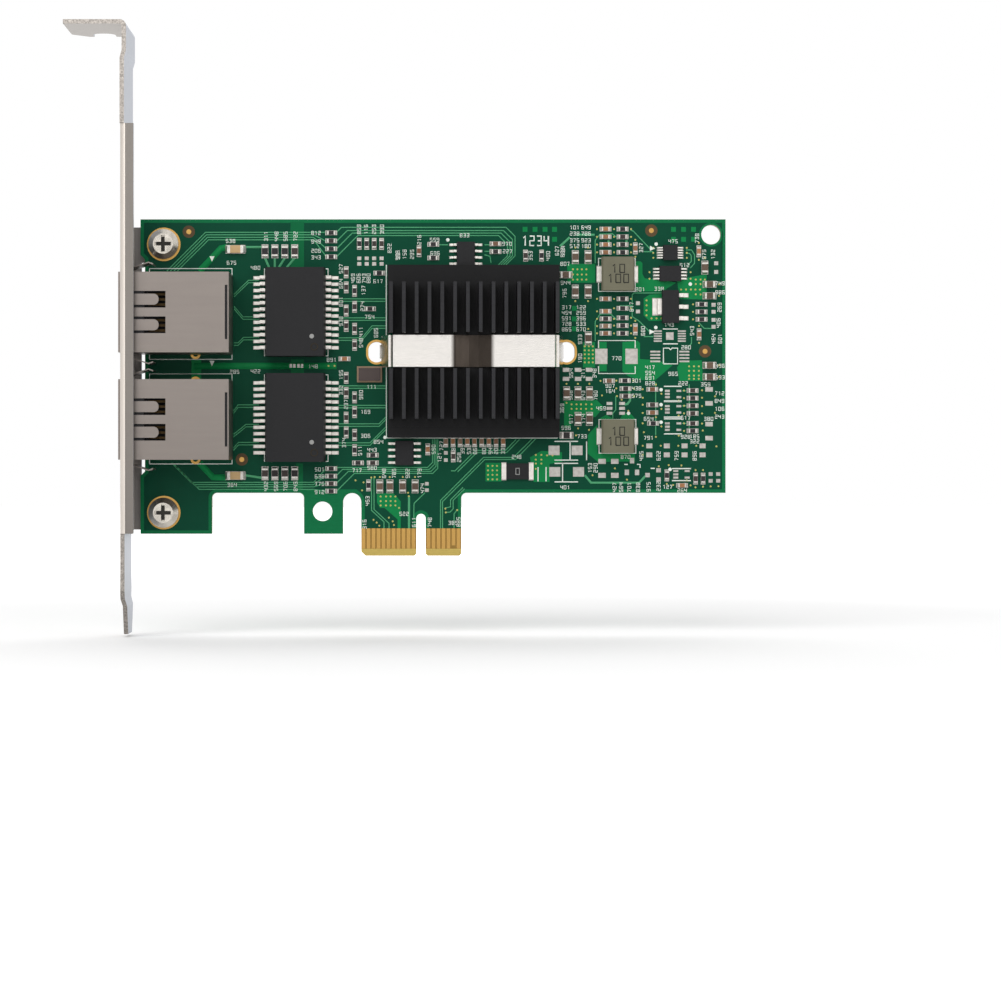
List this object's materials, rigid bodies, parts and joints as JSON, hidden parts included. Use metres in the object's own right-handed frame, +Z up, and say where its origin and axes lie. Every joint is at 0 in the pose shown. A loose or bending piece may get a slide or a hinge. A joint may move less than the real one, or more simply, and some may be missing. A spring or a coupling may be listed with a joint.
{
  "type": "network interface card",
  "caption": "Network card: edge-connector board, full-height folded bracket with shielded jacks, magnetics, and a finned heat sink held by a spring clip.",
  "frame": {"origin": "middle of the key notch at the tip of the edge contacts, half way through the board", "axes": "+X along the board, away from the bracket; -Y out of the component side; +Z up, away from the edge contacts"},
  "size_m": [0.1306, 0.0209, 0.12],
  "materials": {
    "circuit_board": "green solder mask",
    "gold_contacts": "gold plated",
    "bracket_steel": "satin plated",
    "screw_chrome": "bright",
    "shield_metal": "satin",
    "jack_plastic": "black",
    "contact_gold": "gold plated",
    "lamp_plastic": "pale, unlit",
    "magnetics_plastic": "black",
    "tin_leads": "tinned",
    "chip_plastic": "black",
    "crystal_ceramic": "ceramic",
    "crystal_metal": "satin",
    "inductor_core": "ferrite grey",
    "thermal_pad": "soft grey",
    "sink_anodised": "black anodised",
    "clip_steel": "spring steel",
    "resistor_black": "black",
    "capacitor_tan": "ceramic",
    "label_paper": "white"
  },
  "bodies": {
    "root": {"circuit_board": "circuit_board", "edge_contacts_component_side": "gold_contacts", "edge_contacts_solder_side": "gold_contacts", "mounting_bracket": "bracket_steel", "bracket_screws": "screw_chrome", "upper_jack_shield": "shield_metal", "lower_jack_shield": "shield_metal", "upper_jack_housing": "jack_plastic", "lower_jack_housing": "jack_plastic", "upper_jack_contacts": "contact_gold", "lower_jack_contacts": "contact_gold", "upper_jack_lamps": "lamp_plastic", "lower_jack_lamps": "lamp_plastic", "upper_magnetics": "magnetics_plastic", "lower_magnetics": "magnetics_plastic", "upper_magnetics_leads": "tin_leads", "lower_magnetics_leads": "tin_leads", "upper_memory_leads": "tin_leads", "lower_memory_leads": "tin_leads", "regulator_leads": "tin_leads", "driver_leads": "tin_leads", "transistor_leads": "tin_leads", "upper_inductor_terminals": "tin_leads", "lower_inductor_terminals": "tin_leads", "large_capacitor_caps": "tin_leads", "sense_resistor_terminals": "tin_leads", "upper_memory_chip": "chip_plastic", "lower_memory_chip": "chip_plastic", "regulator_chip": "chip_plastic", "driver_chip": "chip_plastic", "power_transistor": "chip_plastic", "controller_chip": "chip_plastic", "crystal_base": "crystal_ceramic", "crystal_lid": "crystal_metal", "upper_inductor": "inductor_core", "lower_inductor": "inductor_core", "thermal_pad": "thermal_pad", "heat_sink": "sink_anodised", "heat_sink_clip": "clip_steel", "small_resistors": "resistor_black", "large_resistors": "resistor_black", "sense_resistor": "resistor_black", "small_capacitors": "capacitor_tan", "back_capacitors": "capacitor_tan", "large_capacitor_bodies": "capacitor_tan", "large_label": "label_paper", "small_label": "label_paper"}
  },
  "joints": []
}
